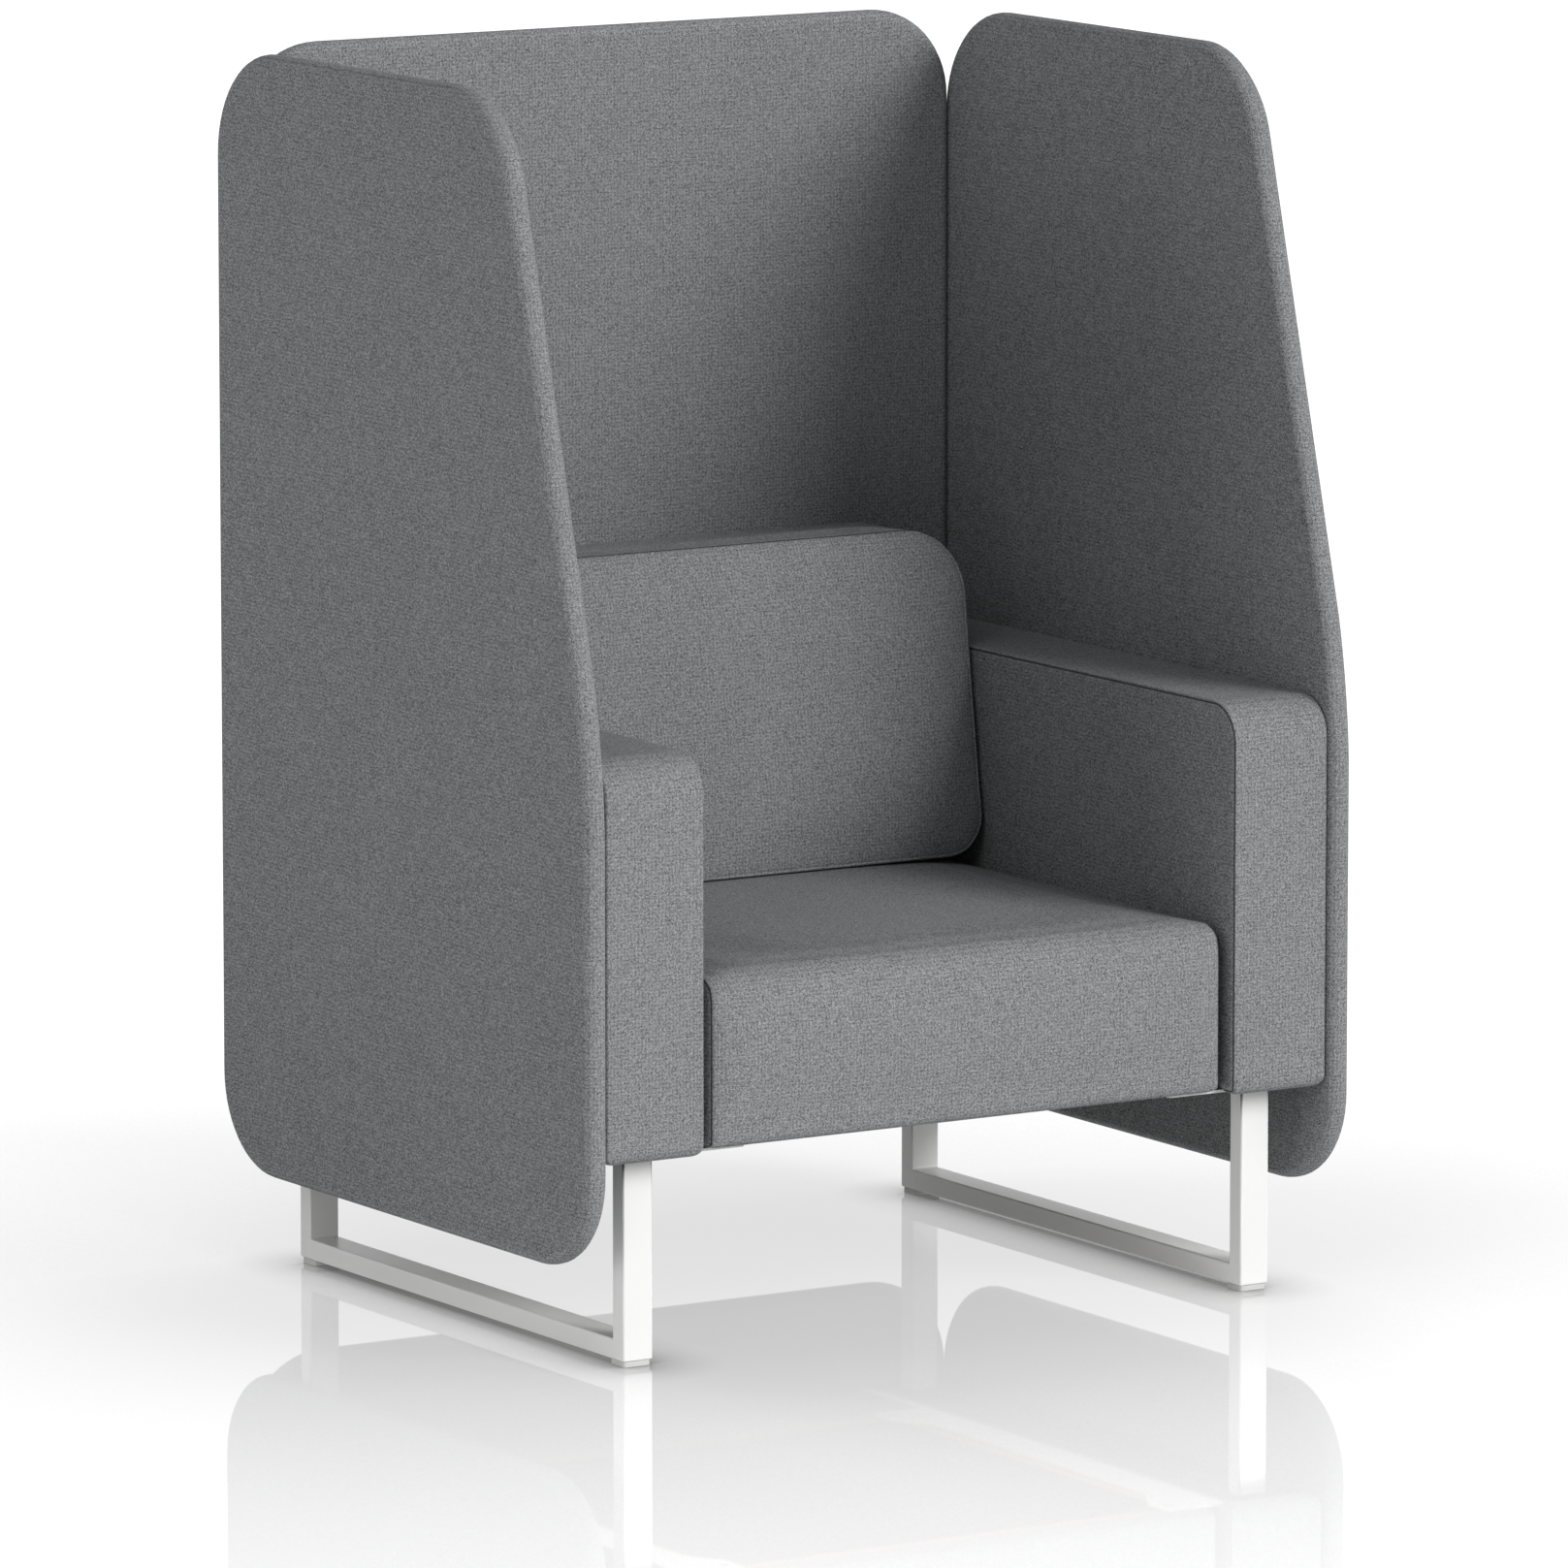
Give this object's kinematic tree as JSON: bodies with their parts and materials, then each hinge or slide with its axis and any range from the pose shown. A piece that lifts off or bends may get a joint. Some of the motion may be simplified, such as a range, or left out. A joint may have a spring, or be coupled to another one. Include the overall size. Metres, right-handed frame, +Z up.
{
  "type": "acoustic high back lounge chair",
  "caption": "Lounge armchair inside tall upholstered side and back screens, with a loose leaning back cushion, on white tubular sled legs.",
  "frame": {"origin": "on the floor, under the middle of the chair's outer width and depth", "axes": "+Z up, -Y the way the sitter faces, +X to the right as seen from the front"},
  "size_m": [1.008, 0.828, 1.4],
  "materials": {
    "timber": "raw plywood and sawn rails, hidden by the upholstery",
    "upholstery": "grey woven wool felt over foam",
    "dust_cloth": "black non-woven cloth",
    "webbing": "dark woven elastic webbing",
    "painted_steel": "white powder coat, semi gloss",
    "glide_plastic": "light grey plastic",
    "zinc_steel": "zinc plated"
  },
  "bodies": {
    "root": {"side_screen_board_right": "timber", "side_screen_board_left": "timber", "side_screen_outer_pad_right": "upholstery", "side_screen_outer_pad_left": "upholstery", "side_screen_inner_pad_right": "upholstery", "side_screen_inner_pad_left": "upholstery", "back_screen_board": "timber", "back_screen_front_pad": "upholstery", "back_screen_rear_pad": "upholstery", "arm_frame_right": "timber", "arm_frame_left": "timber", "arm_band_right": "upholstery", "arm_band_left": "upholstery", "arm_inner_panel_right": "upholstery", "arm_inner_panel_left": "upholstery", "arm_outer_panel_right": "upholstery", "arm_outer_panel_left": "upholstery", "arm_dust_cover_right": "dust_cloth", "arm_dust_cover_left": "dust_cloth", "seat_frame": "timber", "seat_dust_cover": "dust_cloth", "seat_webbing_long_1": "webbing", "seat_webbing_long_2": "webbing", "seat_webbing_long_3": "webbing", "seat_webbing_long_4": "webbing", "seat_webbing_cross_1": "webbing", "seat_webbing_cross_2": "webbing", "seat_webbing_cross_3": "webbing", "seat_cushion": "upholstery", "backrest_frame": "timber", "backrest_webbing_1": "webbing", "backrest_webbing_2": "webbing", "backrest_webbing_3": "webbing", "backrest_cover": "upholstery", "back_cushion": "upholstery", "leg_floor_bar_right": "painted_steel", "leg_floor_bar_left": "painted_steel", "leg_front_post_right": "painted_steel", "leg_front_post_left": "painted_steel", "leg_rear_post_right": "painted_steel", "leg_rear_post_left": "painted_steel", "mounting_plate_right": "painted_steel", "mounting_plate_left": "painted_steel", "front_glide_right": "glide_plastic", "front_glide_left": "glide_plastic", "rear_glide_right": "glide_plastic", "rear_glide_left": "glide_plastic", "front_seat_screw_right": "zinc_steel", "front_seat_screw_left": "zinc_steel", "rear_seat_screw_right": "zinc_steel", "rear_seat_screw_left": "zinc_steel", "front_arm_screw_right": "zinc_steel", "front_arm_screw_left": "zinc_steel", "rear_arm_screw_right": "zinc_steel", "rear_arm_screw_left": "zinc_steel", "front_screen_bolt_right": "zinc_steel", "front_screen_bolt_left": "zinc_steel", "rear_screen_bolt_right": "zinc_steel", "rear_screen_bolt_left": "zinc_steel"}
  },
  "joints": []
}
